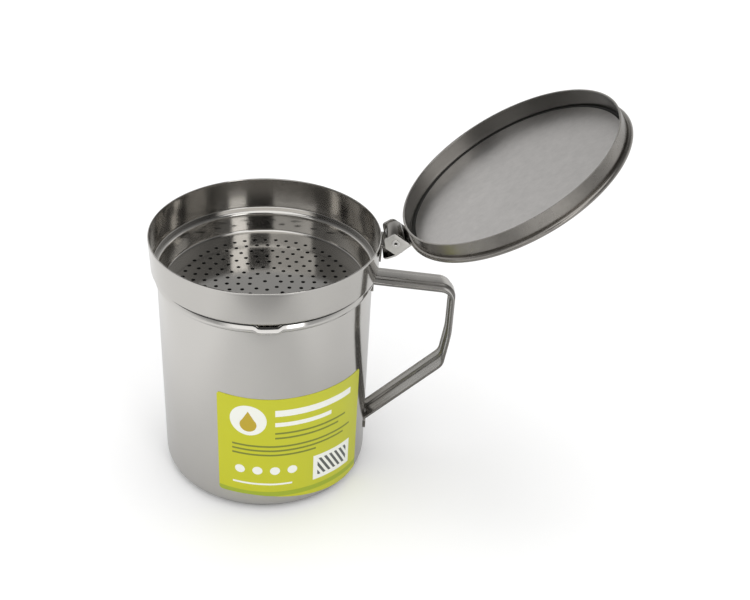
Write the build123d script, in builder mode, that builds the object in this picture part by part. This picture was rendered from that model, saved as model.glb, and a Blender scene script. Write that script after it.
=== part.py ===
from build123d import *
import os
from math import cos, pi, radians, sin, sqrt

# A grease keeper in pressed stainless steel: a mug-shaped cup with a strap handle, a strainer that
# drops into its mouth, and a plug lid hinged to the strainer's band.  Millimetres, +Z up, origin at
# the middle of the flat base, handle and hinge towards +X.  The lid is modelled swung open, on its stop.

# Sheets and clearances
sheet = 0.5                 # wall of the cup, the strainer and the lid
seat_gap = 0.3              # between a piece that lifts off and what carries it
side_gap = 0.3              # between faces that slide past each other
weld_gap = 0.02             # between curved faces that are welded together

# Cup
cup_r = 42.5                # outer radius of the wall
cup_base_corner = 5.5       # outer radius of the bottom edge
cup_height = 92.0           # to the top of the rolled rim
rim_roll_width = 1.5        # radial width of the rolled rim
rim_roll_height = 3.6
spout_angle = -86.0         # where the pouring notch is, counted from the handle
spout_width = 9.0
spout_ramp = 1.6
spout_depth = 1.0

# Handle: a channel-shaped strap with turned-in edges and a raised rib
handle_width = 12.2
handle_sheet = 0.8
handle_edge = 1.1           # depth of the turned-in edges, the sheet included
handle_rib_width = 5.6
handle_rib_height = 0.9
handle_rib_slope = 55       # degrees
handle_top_drop = 4.1       # from the cup's rim to the top run's outer face, at the cup
handle_droop = 3.7          # how far the top run falls on its way out
handle_out = 32.6           # from the cup's wall to the grip's outer face, at the top,
handle_grip_out = 32.7      # at the grip's lower end
handle_elbow_out = 30.9     # and at the elbow
handle_grip_drop = 31.0     # from the cup's rim to the grip's lower end
handle_elbow_drop = 44.2    # and to the elbow
handle_foot_z = 19.3        # top of the foot tab on the cup
handle_foot_sink = 1.4      # how far below that the brace's outer face meets the cup
handle_bend_r = 6.0
handle_soft_bend_r = 30.0
handle_elbow_r = 6.5
handle_tab_sheet = 0.8
handle_tab_set = 0.2        # top of the upper tab, below the top run's outer face
handle_top_tab = 4.6        # how far the top tab runs down the cup
handle_foot_tab = 5.4

# Label
label_sheet = 0.12
label_from = -113.5         # degrees, counted from the handle
label_to = -26.5
label_bottom = 7.6
label_height = 49.2

# Strainer
band_height = 13.1          # from the step to the rim
step_width = 2.15           # how much further out than the cup's inside the band stands
band_flare = 0.55           # how much wider the band is at its rim than at the step
step_fall = 0.8             # how much lower the step is at its inner edge
basket_wall_gap = 0.3       # between the basket and the cup's wall
basket_draft = 0.5          # how much narrower the basket is at its floor
basket_depth = 8.8
strainer_bend_r = 1.0
hole_r = 0.65
hole_pitch = 4.45
hole_outer_ring_r = 33.0

# Hinge
pin_r = 0.95
pin_bore_r = 0.45
pin_head_r = 1.55
pin_head = 0.35
pin_fit = 0.05              # running fit of the lid's ears on the pin
pin_out = 5.1               # pin axis, outwards from the band's rim
pin_drop = 0.72             # pin axis, below the rim
open_angle = 146.8          # how far the lid has swung from closed

bracket_sheet = 0.6
bracket_width = 11.0
bracket_plate_drop = 2.2    # top of the plate, below the rim
bracket_plate_height = 7.7
bracket_hood_r = 3.55
bracket_ear = 0.8
bracket_root = 1.0          # how deep the ears stand where they leave the plate

# Lid
lid_overlap = 5.15          # how deep the skirt reaches below the rim
lid_skirt_gap = 0.3         # between the skirt's foot and the band
lid_bead_r = 1.15
lid_bead_over = 0.6         # how far the bead stands out over the band
lid_sheet = 0.55
lid_hem = 1.1               # height of the folded hem
lid_hem_sheet = 0.3

leaf_sheet = 0.7
leaf_ear = 0.6
leaf_strap = 9.0            # how far the strap runs in over the lid
leaf_hood_gap = 0.4         # between the bracket's hood and the strap
leaf_tab_fall = 0.9         # how far the thumb tab droops
leaf_tip_out = 2.6          # where the strap bends into the thumb tab, outwards from the pin
ear_out = 4.4               # corners of the ears, counted from the pin: the outer one,
ear_toe = 2.9               # the two lower ones, this far out
ear_heel = 1.8              # and this far in,
ear_down = 3.8              # both this far down,
ear_in = 4.2                # and the inner one
ear_in_rise = 2.4
ear_bead_gap = 0.15


# Places worked out from the sizes above
roll_mid_r = cup_r - sheet + rim_roll_width / 2
handle_top_z = cup_height - handle_top_drop
band_foot_r = cup_r - sheet + step_width
band_rim_r = band_foot_r + band_flare
step_slope = step_fall / (band_foot_r - cup_r + sheet + basket_wall_gap)
step_under_r = cup_r - sheet - basket_wall_gap
step_edge_r = step_under_r - sheet
step_z = cup_height + seat_gap + sheet * sqrt(1 + step_slope**2) - step_slope * (roll_mid_r - step_edge_r)
step_outer_z = step_z + step_slope * (band_foot_r - step_edge_r)
rim_z = step_outer_z + band_height
floor_z = step_z - basket_depth
floor_r = step_edge_r - basket_draft
band_out_r = band_rim_r + sheet
pin_x = band_out_r + pin_out
pin_z = rim_z - pin_drop
bracket_face_r = band_out_r + bracket_sheet


def opened(x, z, y=0.0):
    """A point of the closed lid, swung about the hinge pin to where the open lid has it."""
    turn = radians(open_angle)
    dx, dz = x - pin_x, z - pin_z
    return Vector(pin_x + dx * cos(turn) + dz * sin(turn), y, pin_z - dx * sin(turn) + dz * cos(turn))


# The closed lid's upright middle plane, carried round to the open position
lid_up = opened(0, 1) - opened(0, 0)
lid_side = Plane(origin=opened(0, 0), x_dir=opened(1, 0) - opened(0, 0), z_dir=(0, -1, 0))
lid_axis = Axis(opened(0, 0), lid_up)


def revolved_rectangle(r_low, r_high, z_low, z_high):
    """A rectangle in radius and height, for a ring or a disc."""
    with Locations(((r_low + r_high) / 2, (z_low + z_high) / 2)):
        Rectangle(r_high - r_low, z_high - z_low)


# --- cup: deep-drawn wall and base, rolled rim with a pouring notch -------------------------------
with BuildPart() as cup:
    with BuildSketch(Plane.XZ):
        with BuildLine():
            FilletPolyline((0, sheet), (cup_r - sheet, sheet),
                           (cup_r - sheet, cup_height - rim_roll_height / 2),
                           radius=cup_base_corner - sheet)
            offset(amount=sheet, side=Side.RIGHT)
        make_face()
        with Locations((roll_mid_r, cup_height - rim_roll_height / 2)):
            RectangleRounded(rim_roll_width, rim_roll_height, rim_roll_width * 0.49)
    revolve(axis=Axis.Z)
    spout_face = Plane.XZ.rotated((0, 0, spout_angle + 90)).offset(cup_r - rim_roll_width)
    spout_top = cup_height + spout_depth
    with BuildSketch(spout_face):
        with BuildLine():
            Polyline((-spout_width / 2 - 2 * spout_ramp, spout_top),
                     (-spout_width / 2, cup_height - spout_depth),
                     (spout_width / 2, cup_height - spout_depth),
                     (spout_width / 2 + 2 * spout_ramp, spout_top), close=True)
        make_face()
    extrude(amount=3 * rim_roll_width, mode=Mode.SUBTRACT)
cup.part.label = "cup"

# --- handle ---------------------------------------------------------------------------------------
handle_start_r = cup_r - 2 * sheet
with BuildPart() as handle:
    with BuildLine() as strap_path:
        FilletPolyline((handle_start_r, 0, handle_top_z),
                       (cup_r + handle_out, 0, handle_top_z - handle_droop),
                       (cup_r + handle_grip_out, 0, cup_height - handle_grip_drop),
                       (cup_r + handle_elbow_out, 0, cup_height - handle_elbow_drop),
                       (handle_start_r, 0, handle_foot_z - handle_foot_sink),
                       radius=[handle_bend_r, handle_soft_bend_r, handle_elbow_r])
    strap_end = Plane(origin=strap_path.line @ 0, x_dir=(0, 1, 0), z_dir=strap_path.line % 0)
    inside = handle_width - 2 * handle_sheet
    with BuildSketch(strap_end) as channel:
        with Locations((0, -handle_edge / 2)):
            Rectangle(handle_width, handle_edge)
        with Locations((0, -handle_sheet - handle_edge / 2)):
            Rectangle(inside, handle_edge, mode=Mode.SUBTRACT)
        with Locations((0, handle_rib_height / 2)):
            Trapezoid(handle_rib_width, handle_rib_height, handle_rib_slope)
        with Locations((0, handle_rib_height / 2 - handle_sheet)):
            Trapezoid(handle_rib_width - handle_sheet, handle_rib_height, handle_rib_slope,
                      mode=Mode.SUBTRACT)
    sweep(path=strap_path.line)
    for top, drop in ((handle_top_z - handle_tab_set, handle_top_tab), (handle_foot_z, handle_foot_tab)):
        with BuildSketch(Plane.XY.offset(top - drop)):
            with Locations((cup_r, 0)):
                Rectangle(2 * handle_tab_sheet + cup_r / 4, handle_width)
            Circle(cup_r + handle_tab_sheet, mode=Mode.INTERSECT)
        extrude(amount=drop)
    with BuildSketch():
        Circle(cup_r + weld_gap)
    extrude(amount=cup_height, mode=Mode.SUBTRACT)
    with BuildSketch(Plane.XY.offset(cup_height - rim_roll_height - weld_gap)):
        Circle(cup_r - sheet + rim_roll_width + weld_gap)
    extrude(amount=rim_roll_height, mode=Mode.SUBTRACT)
handle.part.label = "handle"

# --- label ----------------------------------------------------------------------------------------
with BuildPart() as label:
    with BuildSketch(Plane.XZ.rotated((0, 0, label_from))):
        revolved_rectangle(cup_r + weld_gap, cup_r + weld_gap + label_sheet,
                           label_bottom, label_bottom + label_height)
    revolve(axis=Axis.Z, revolution_arc=label_to - label_from)
label.part.label = "label"

# --- strainer: band, step, basket wall and perforated floor ---------------------------------------
ring_count = int(hole_outer_ring_r / hole_pitch)
with BuildPart() as strainer:
    with BuildSketch(Plane.XZ):
        with BuildLine():
            FilletPolyline((0, floor_z), (floor_r, floor_z), (step_edge_r, step_z),
                           (band_foot_r, step_outer_z), (band_rim_r, rim_z),
                           radius=[strainer_bend_r, strainer_bend_r / 2, strainer_bend_r / 2])
            offset(amount=sheet, side=Side.RIGHT)
        make_face()
    revolve(axis=Axis.Z)
    with BuildSketch(Plane.XY.offset(floor_z)):
        Circle(hole_r)
        for ring in range(ring_count):
            ring_r = hole_outer_ring_r - ring * hole_pitch
            with PolarLocations(ring_r, round(2 * pi * ring_r / hole_pitch)):
                Circle(hole_r)
    extrude(amount=2 * sheet, both=True, mode=Mode.SUBTRACT)
strainer.part.label = "strainer"

# --- hinge bracket: plate on the band, two ears under a rounded hood -------------------------------
bracket_top = rim_z - bracket_plate_drop
bracket_foot = bracket_top - bracket_plate_height
hood_inner_r = bracket_hood_r - bracket_sheet
with BuildPart() as hinge_bracket:
    with BuildSketch(Plane.XY.offset(bracket_foot)):
        with Locations((bracket_face_r, 0)):
            Rectangle(bracket_face_r / 2, bracket_width)
        Circle(bracket_face_r, mode=Mode.INTERSECT)
    extrude(amount=bracket_plate_height)
    with BuildSketch(Plane.XZ):
        with BuildLine():
            Polyline((band_rim_r, bracket_top - bracket_root), (pin_x, pin_z - bracket_hood_r),
                     (pin_x, bracket_top), (band_rim_r, bracket_top), close=True)
        make_face()
        with Locations((pin_x, pin_z)):
            Circle(bracket_hood_r)
    extrude(amount=bracket_width / 2, both=True)
    with BuildSketch(Plane.XZ):
        with BuildLine():
            Polyline((bracket_face_r, bracket_foot), (pin_x, bracket_foot),
                     (pin_x, bracket_top - bracket_sheet),
                     (bracket_face_r, bracket_top - bracket_sheet), close=True)
        make_face()
        with Locations((pin_x, pin_z)):
            Circle(hood_inner_r)
    extrude(amount=bracket_width / 2 - bracket_ear, both=True, mode=Mode.SUBTRACT)
    with BuildSketch(Plane.XZ):
        with Locations((pin_x, pin_z)):
            Circle(pin_r + weld_gap)
    extrude(amount=bracket_width, both=True, mode=Mode.SUBTRACT)
    with BuildSketch(Plane.XZ):
        with BuildLine():
            Polyline((band_foot_r + sheet + weld_gap, step_outer_z), (band_out_r + weld_gap, rim_z),
                     (band_out_r + weld_gap, rim_z + band_height),
                     (0, rim_z + band_height), (0, step_outer_z), close=True)
        make_face()
    revolve(axis=Axis.Z, mode=Mode.SUBTRACT)
hinge_bracket.part.label = "hinge_bracket"

# --- hinge pin: a tubular rivet through all four ears ---------------------------------------------
leaf_inner_y = bracket_width / 2 + side_gap
leaf_outer_y = leaf_inner_y + leaf_ear
pin_half = leaf_outer_y + pin_fit + pin_head
pin_side = Plane(origin=(pin_x, 0, pin_z), x_dir=(0, 1, 0), z_dir=(1, 0, 0))
with BuildPart() as hinge_pin:
    with BuildSketch(pin_side):
        with Locations((0, (pin_r + pin_bore_r) / 2)):
            Rectangle(2 * pin_half, pin_r - pin_bore_r)
        for side in (-1, 1):
            with Locations((side * (pin_half - pin_head / 2), (pin_head_r + pin_bore_r) / 2)):
                Rectangle(pin_head, pin_head_r - pin_bore_r)
    revolve(axis=Axis((pin_x, 0, pin_z), (0, 1, 0)))
    fillet(hinge_pin.edges().filter_by(GeomType.CIRCLE).group_by(SortBy.RADIUS)[-1], pin_head * 0.4)
hinge_pin.part.label = "hinge_pin"

# --- lid disc: flat plate, rolled bead that rests on the rim, skirt that plugs the band -----------
bead_z = rim_z + seat_gap + lid_bead_r
bead_mid_r = band_out_r + lid_bead_over - lid_bead_r
lid_top = bead_z + lid_bead_r
lid_under = lid_top - lid_sheet
skirt_r = band_rim_r - band_flare * lid_overlap / band_height - lid_skirt_gap
skirt_foot = rim_z - lid_overlap
with BuildPart() as lid_disc:
    with BuildSketch(lid_side):
        revolved_rectangle(0, bead_mid_r, lid_under, lid_top)
        with Locations((bead_mid_r, bead_z)):
            Circle(lid_bead_r)
        revolved_rectangle(skirt_r - sheet, skirt_r, skirt_foot, lid_under + lid_sheet / 2)
        revolved_rectangle(skirt_r - sheet - lid_hem_sheet, skirt_r - sheet / 2,
                           skirt_foot, skirt_foot + lid_hem)
    revolve(axis=lid_axis)
lid_disc.part.label = "lid_disc"

# --- lid hinge: strap on the lid, two ears on the pin, thumb tab that stops the lid ---------------
strap_in = bead_mid_r - leaf_strap
strap_out = bead_mid_r + lid_bead_r
rise_z = pin_z + bracket_hood_r + leaf_hood_gap
rise_slope = (rise_z - lid_top) / (pin_x - strap_out)
thumb_x = pin_x + leaf_tip_out
thumb_z = lid_top + rise_slope * (thumb_x - strap_out)
tab_z = thumb_z - leaf_tab_fall
ears_foot = pin_z - 2 * ear_down
turn_out = radians(180 - open_angle)
tab_x = pin_x + (pin_x - bracket_face_r - side_gap + (tab_z - pin_z) * sin(turn_out)) / cos(turn_out)
with BuildPart() as lid_hinge:
    with BuildSketch(lid_side):
        with BuildLine():
            Polyline((strap_in, lid_top), (strap_out, lid_top), (thumb_x, thumb_z), (tab_x, tab_z))
            offset(amount=leaf_sheet, side=Side.LEFT)
        make_face()
    extrude(amount=leaf_outer_y, both=True)
    ear_start = strap_out + ear_bead_gap
    with BuildSketch(lid_side):
        with BuildLine():
            Polyline((ear_start, lid_top + leaf_sheet / 2), (thumb_x, thumb_z + leaf_sheet / 2),
                     (pin_x + ear_out, pin_z), (pin_x + ear_toe, pin_z - ear_down),
                     (pin_x - ear_heel, pin_z - ear_down), (pin_x - ear_in, pin_z + ear_in_rise),
                     close=True)
        make_face()
    extrude(amount=leaf_outer_y, both=True)
    with BuildSketch(lid_side):
        with BuildLine():
            Polyline((strap_in, lid_top), (strap_out, lid_top), (thumb_x, thumb_z), (tab_x, tab_z),
                     (tab_x, ears_foot), (strap_in, ears_foot), close=True)
        make_face()
    extrude(amount=leaf_inner_y, both=True, mode=Mode.SUBTRACT)
    with BuildSketch(lid_side):
        with Locations((pin_x, pin_z)):
            Circle(pin_r + pin_fit)
    extrude(amount=leaf_outer_y, both=True, mode=Mode.SUBTRACT)
lid_hinge.part.label = "lid_hinge"

os.makedirs("parts", exist_ok=True)
for piece in (cup, handle, label, strainer, hinge_bracket, hinge_pin, lid_disc, lid_hinge):
    export_step(piece.part, f"parts/{piece.part.label}.step")
print(f"rim {rim_z:.2f}, pin {pin_x:.2f} {pin_z:.2f}, lid top {lid_top:.2f}, floor {floor_z:.2f}")
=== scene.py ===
# %% [markdown]
# # A grease keeper in pressed steel
# The real object is a mug-shaped can that keeps kitchen fat: a cup with a strap handle, a strainer
# that hangs in its mouth, and a lid hinged to the strainer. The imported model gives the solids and
# the joints. Rolled rims, punched holes and soft edges make pressed sheet look real, so a finer
# surface is built in the place of each solid.

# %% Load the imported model
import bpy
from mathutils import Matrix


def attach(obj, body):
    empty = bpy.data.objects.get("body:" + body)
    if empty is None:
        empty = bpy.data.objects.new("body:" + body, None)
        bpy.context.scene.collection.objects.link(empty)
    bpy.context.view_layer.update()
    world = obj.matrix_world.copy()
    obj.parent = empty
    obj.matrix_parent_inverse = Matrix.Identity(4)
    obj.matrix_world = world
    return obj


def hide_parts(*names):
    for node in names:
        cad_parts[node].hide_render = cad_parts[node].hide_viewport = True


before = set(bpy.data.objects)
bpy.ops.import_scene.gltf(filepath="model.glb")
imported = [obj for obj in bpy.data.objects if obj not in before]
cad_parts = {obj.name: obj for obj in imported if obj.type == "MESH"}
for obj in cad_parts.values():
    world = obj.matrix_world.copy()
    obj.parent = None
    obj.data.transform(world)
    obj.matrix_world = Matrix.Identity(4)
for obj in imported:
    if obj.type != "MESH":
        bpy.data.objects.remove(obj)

# %% Clear the start-up objects
from math import cos, pi, radians, sin

import bmesh
import bpy
import numpy as np
from mathutils import Matrix, Vector
from mathutils.geometry import delaunay_2d_cdt

for leftover in ("Cube", "Light", "Camera"):
    if leftover in bpy.data.objects:
        bpy.data.objects.remove(bpy.data.objects[leftover])
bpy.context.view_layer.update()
MM = 0.001
MICRON = 0.001 * MM


def add_object(name, data):
    """Put a mesh, camera or light in the scene as an object."""
    added = bpy.data.objects.new(name, data)
    bpy.context.scene.collection.objects.link(added)
    return added


# %% [markdown]
# ## The camera
# A camera is a place, a direction and a focal length. Three angles give the direction: a turn, a
# look downwards and a slight roll. The camera could track an empty, but a matrix of three axes also
# holds the roll. A small shift puts the object left of the middle.

# %% Set up the camera
PICTURE_WIDTH, SENSOR_WIDTH = 750, 36.0
focal_in_pixels = 1096.785
camera_spot = Vector((15.22, -369.65, 316.02)) * MM
look_turn, look_down, look_roll = radians(-0.1747), radians(33.112), radians(1.054)

forward = Vector((sin(look_turn) * cos(look_down), cos(look_turn) * cos(look_down),
                  -sin(look_down)))
level = Vector((cos(look_turn), -sin(look_turn), 0))
upright = level.cross(forward)
right = cos(look_roll) * level + sin(look_roll) * upright
up = cos(look_roll) * upright - sin(look_roll) * level

lens = bpy.data.cameras.new("studio_camera")
lens.sensor_width = SENSOR_WIDTH
lens.lens = focal_in_pixels / PICTURE_WIDTH * SENSOR_WIDTH
lens.shift_x = 0.1
lens.clip_start = 0.01
camera = add_object("studio_camera", lens)
axes = Matrix((right, up, -forward)).transposed().to_4x4()
camera.matrix_world = Matrix.Translation(camera_spot) @ axes
bpy.context.scene.camera = camera
bpy.context.scene.view_settings.view_transform = "Standard"
print("lens", round(lens.lens, 2), "mm")

# %% [markdown]
# ## Meshes from arrays
# Most of this object is sheet, spun or pressed to a profile. A profile could be drawn by hand and
# turned with a Screw modifier. As a numpy array, its sizes are named numbers and a notch is one
# more formula.


# %% Helpers: a profile with rounded corners
def eased(t):
    """S-curve from 0 to 1: t squared times (3 - 2 t), held at both ends."""
    t = np.clip(t, 0.0, 1.0)
    return t * t * (3 - 2 * t)


def rounded_line(corners, radii, longest=2.0, arc_step=radians(9)):
    """Straight runs joined by arcs, in pieces no longer than `longest`.

    Where the line turns by a, the arc's centre is r / cos(a / 2) from the corner, on its inner
    side. At t into the arc, a point is centre + r sin t along the run in - r cos t to its side.
    """
    corners = np.asarray(corners, float)
    hardly_turned = 1e-4
    line = [corners[0]]
    for before, corner, after, radius in zip(corners, corners[1:], corners[2:], radii):
        into, out = corner - before, after - corner
        into, out = into / np.linalg.norm(into), out / np.linalg.norm(out)
        turn = np.arccos(np.clip(into @ out, -1, 1))
        if radius == 0 or turn < hardly_turned:
            line.append(corner)
            continue
        steps = max(2, int(np.ceil(turn / arc_step)))
        inward = (out - into) / np.linalg.norm(out - into)
        centre = corner + inward * radius / cos(turn / 2)
        side = out - (out @ into) * into
        side /= np.linalg.norm(side)
        angle = np.linspace(0, turn, steps + 1)[:, None]
        line.append(centre + radius * (np.sin(angle) * into - np.cos(angle) * side))
    line = np.vstack(line + [corners[-1]])
    dense = [line[0]]
    for start, end in zip(line, line[1:]):
        pieces = max(1, int(np.ceil(np.linalg.norm(end - start) / longest)))
        dense.append(start + (end - start) * np.arange(1, pieces + 1)[:, None] / pieces)
    return np.vstack(dense)


print("a rounded right angle:", len(rounded_line([(0, 0), (9, 0), (9, 9)], [3])), "points")

# %% Helpers: grids and turned surfaces
ROUND_STEPS = 288


def grid_faces(rows, columns, wrap_rows=False, wrap_columns=False):
    """Quads between neighbouring rows and columns of a grid, joined round where it wraps."""
    down = np.arange(rows if wrap_rows else rows - 1)
    across = np.arange(columns if wrap_columns else columns - 1)
    i, j = np.meshgrid(down, across, indexing="ij")
    i, j, i2, j2 = i.ravel(), j.ravel(), (i.ravel() + 1) % rows, (j.ravel() + 1) % columns
    return np.column_stack((i * columns + j, i2 * columns + j, i2 * columns + j2, i * columns + j2))


def placed(x, y, z):
    """A grid of points from its x, y and z; one that has fewer sides is repeated."""
    return np.stack(np.broadcast_arrays(x, y, z), axis=-1)


def about_axis(r, a, z):
    """Points (r cos a, r sin a, z) about the vertical axis."""
    return placed(r * np.cos(a), r * np.sin(a), z)


def turned(profile, steps=ROUND_STEPS, closed=False):
    """Surface of revolution: each profile point at each of the equal steps of a whole turn."""
    angle = np.linspace(0, 2 * pi, steps, endpoint=False)[:, None]
    points = about_axis(profile[:, 0], angle, profile[:, 1])
    return points, grid_faces(steps, len(profile), wrap_rows=True, wrap_columns=closed)


def bar_along(sections):
    """A row of closed sections joined by quads, with the first and the last one filled."""
    rows, columns = sections.shape[:2]
    first = np.arange(columns)[None]
    return [(sections, grid_faces(rows, columns, wrap_columns=True)),
            (sections, first), (sections, first + (rows - 1) * columns)]


print("a turned surface has", ROUND_STEPS, "steps round")

# %% [markdown]
# ## From patches to a piece
# A piece comes as patches of surface that share borders, and would shade badly there if they
# stayed apart. So their points are merged, the faces are turned outwards, and the open edges are
# counted: 0 means a closed shell. `paint` gives some faces another finish: mostly painted shade
# in folds, holes and seams, and a partly stained tone on the lid's skirt.

# %% Helpers: make a piece and paint it
MERGE_WITHIN, SLIVER = 2 * MICRON, 0.1 * MICRON


def new_piece(name, patches, node, body, finish, sharp=radians(32)):
    """One closed mesh from (points in mm, faces) patches, in the place of a solid on a body."""
    mesh = bpy.data.meshes.new(name)
    points, faces, start = [], [], 0
    for patch_points, patch_faces in patches:
        patch_points = np.asarray(patch_points).reshape(-1, 3)
        points.append(patch_points)
        faces += (np.asarray(patch_faces) + start).tolist()
        start += len(patch_points)
    mesh.from_pydata((np.vstack(points) * MM).tolist(), [], faces)
    shell = bmesh.new()
    shell.from_mesh(mesh)
    bmesh.ops.remove_doubles(shell, verts=shell.verts, dist=MERGE_WITHIN)
    bmesh.ops.dissolve_degenerate(shell, edges=shell.edges, dist=SLIVER)
    bmesh.ops.recalc_face_normals(shell, faces=shell.faces)
    if shell.calc_volume(signed=True) < 0:
        bmesh.ops.reverse_faces(shell, faces=shell.faces)
    open_edges = sum(len(edge.link_faces) != 2 for edge in shell.edges)
    shell.to_mesh(mesh)
    shell.free()
    mesh.shade_smooth()
    mesh.set_sharp_from_angle(angle=sharp)
    mesh.materials.append(finish)
    piece = add_object(name, mesh)
    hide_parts(node)
    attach(piece, body)
    print(name, len(mesh.polygons), "faces, open edges", open_edges)
    return piece


def from_axis(at):
    """How far points are from the vertical axis."""
    return np.hypot(at[:, 0], at[:, 1])


def paint(piece, finish, chosen):
    """Give a second finish to the faces where chosen(middles in mm, normals) is true."""
    mesh = piece.data
    count = len(mesh.polygons)
    middles, facing, index = np.empty(3 * count), np.empty(3 * count), np.empty(count, int)
    mesh.polygons.foreach_get("center", middles)
    mesh.polygons.foreach_get("normal", facing)
    mesh.polygons.foreach_get("material_index", index)
    mesh.materials.append(finish)
    painted = chosen(middles.reshape(-1, 3) / MM, facing.reshape(-1, 3))
    index[painted] = len(mesh.materials) - 1
    mesh.polygons.foreach_set("material_index", index)
    print(finish.name, "on", np.count_nonzero(painted), "faces of", piece.name)


print("points merge within", round(MERGE_WITHIN / MICRON, 1), "microns")

# %% [markdown]
# ## Shader maths
# A material is a tree of nodes, which could be laid out by hand in the editor. The small class
# below wraps one socket, so that `0.2 + 0.1 * smudge` adds the Math nodes by itself and still
# reads like a formula. Every other node comes from `add_node`.


# %% Helpers: shader expressions
def operator(operation, swapped=False):
    """A method that adds one Math node; `swapped` puts the other value first."""
    def method(self, *other):
        values = (*other, self) if swapped else (self, *other)
        return add_node(self.socket.id_data, "ShaderNodeMath", dict(enumerate(values)),
                        operation=operation)
    return method


class Wire:
    """The value on one socket; arithmetic and comparison on it add Math nodes to the same tree."""

    __add__ = __radd__ = operator("ADD")
    __mul__ = __rmul__ = operator("MULTIPLY")
    __sub__, __rsub__ = operator("SUBTRACT"), operator("SUBTRACT", swapped=True)
    __mod__, __abs__ = operator("MODULO"), operator("ABSOLUTE")
    __lt__, __gt__ = operator("LESS_THAN"), operator("GREATER_THAN")
    larger = operator("MAXIMUM")

    def __init__(self, socket):
        self.socket = socket

    def smooth(self, start, end, low, high):
        """S-curve from `low`, while the value is under `start`, to `high`, once over `end`."""
        limits = {"From Min": start, "From Max": end, "To Min": low, "To Max": high}
        return add_node(self.socket.id_data, "ShaderNodeMapRange", {"Value": self, **limits},
                        interpolation_type="SMOOTHSTEP")

    def twin(self, name):
        """Another output of the same node."""
        return Wire(self.socket.node.outputs[name])


def add_node(tree, kind, values, out=0, stops=(), **settings):
    """Add a node, set it up, set its sockets to numbers, colours or wires; return one output."""
    node = tree.nodes.new(kind)
    for name, setting in settings.items():
        setattr(node, name, setting)
    if stops:
        ramp = node.color_ramp
        for place, _ in stops[2:]:
            ramp.elements.new(place)
        for element, (place, shade) in zip(ramp.elements, sorted(stops)):
            element.position, element.color = place, (shade, shade, shade, 1)
    for name, value in values.items():
        if isinstance(value, Wire):
            tree.links.new(value.socket, node.inputs[name])
        else:
            node.inputs[name].default_value = value
    return Wire(node.outputs[out])


print("a wire knows + - * % < > and abs")


# %% Helpers: common nodes and finishes
def mix(tree, share, under, over):
    """Mix two colours: `under` where the share is 0 and `over` where it is 1."""
    return add_node(tree, "ShaderNodeMix", {"Factor": share, "A": under, "B": over},
                    out="Result", data_type="RGBA")


def noise(tree, place, scale, detail, roughness=0.5):
    """Random values round 0.5: `scale` blotches to a unit, with `detail` finer layers on them."""
    return add_node(tree, "ShaderNodeTexNoise", {"Vector": place, "Scale": scale,
                                                 "Detail": detail, "Roughness": roughness},
                    out="Fac")


def grey(tree, value):
    """A colour with the same value in red, green and blue."""
    return add_node(tree, "ShaderNodeCombineXYZ", {0: value, 1: value, 2: value})


def new_finish(name):
    """An empty material, its tree and its principled shader."""
    finish = bpy.data.materials.new(name)
    finish.use_nodes = True
    return finish, finish.node_tree, finish.node_tree.nodes["Principled BSDF"]


def feed(tree, shader, **wires):
    """Link wires to the shader's sockets; base_color feeds Base Color, and so on."""
    for name, wire in wires.items():
        tree.links.new(wire.socket, shader.inputs[name.replace("_", " ").title()])


print("materials so far:", len(bpy.data.materials))

# %% [markdown]
# ## Steel
# Drawn stainless steel is bright, with very fine lines left by the dies and the polishing wheel.
# They are too fine to model, and an even roughness looks like plastic. So a noise is squeezed
# across the lines and stretched along them. It shades the metal a little and feeds a bump a few
# microns deep, which draws reflections out into streaks. A broad noise adds smudges, and a mask
# can darken one side: painted shade, at the cup's base and inside the lid's skirt.

# %% Finish: drawn steel
CLOUDS_PER_METRE = 34.0
CLOUD_SHARE = 0.6
LINE_ROUGHNESS, LINE_STRENGTH = 0.05, 0.35
# the share of the tone that is left where a painted-shade mask is full
DARKENED_SHARE = 0.16


def toned(tone, share):
    """A colour with an alpha of 1: the tone times a share."""
    return tuple(share * c for c in tone) + (1,)


def steel_finish(name, tone, roughness, line_scale, line_depth, smudge=0.06, darkening=None,
                 spread=(0.94, 1.04)):
    """Steel with fine lines: noise at a high rate across the lines and a low one along them.

    `smudge` is how far the clouds change the roughness, and `spread` how far the tone goes both
    ways, as shares of it.
    """
    finish, tree, shader = new_finish(name)
    spot = add_node(tree, "ShaderNodeTexCoord", {}, out="Object")
    squeezed = add_node(tree, "ShaderNodeMapping", {"Vector": spot, "Scale": line_scale})
    lines = noise(tree, squeezed, 1.0, 5.0, 0.7)
    clouds = noise(tree, spot, CLOUDS_PER_METRE, 6.0, 0.6)
    tint = mix(tree, clouds * CLOUD_SHARE + lines * (1 - CLOUD_SHARE),
               toned(tone, spread[0]), toned(tone, spread[1]))
    # painted shade: where the mask grows, the tone falls to a small share of itself
    if darkening:
        tint = mix(tree, darkening(tree, spot), tint, toned(tone, DARKENED_SHARE))
    bump = add_node(tree, "ShaderNodeBump", {"Height": lines, "Strength": LINE_STRENGTH,
                                             "Distance": line_depth}, out="Normal")
    feed(tree, shader, base_color=tint, normal=bump,
         roughness=roughness - smudge / 2 + smudge * clouds + LINE_ROUGHNESS * lines)
    shader.inputs["Metallic"].default_value = 1.0
    return finish


def toward(direction, start, end, most):
    """Painted shade that grows to `most` between two distances from the origin along a direction.
    """
    def mask(tree, spot):
        along = add_node(tree, "ShaderNodeVectorMath", {0: spot, 1: direction}, out="Value",
                         operation="DOT_PRODUCT")
        return along.smooth(start, end, 0.0, most)
    return mask


print("clouds of about", round(1000 / CLOUDS_PER_METRE), "mm")

# %% The steels
ROUND_LINES, STRAP_LINES = (25, 25, 4200), (30, 1300, 30)
GRAIN, FINE_GRAIN = (300, 300, 300), (700, 700, 700)
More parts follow.
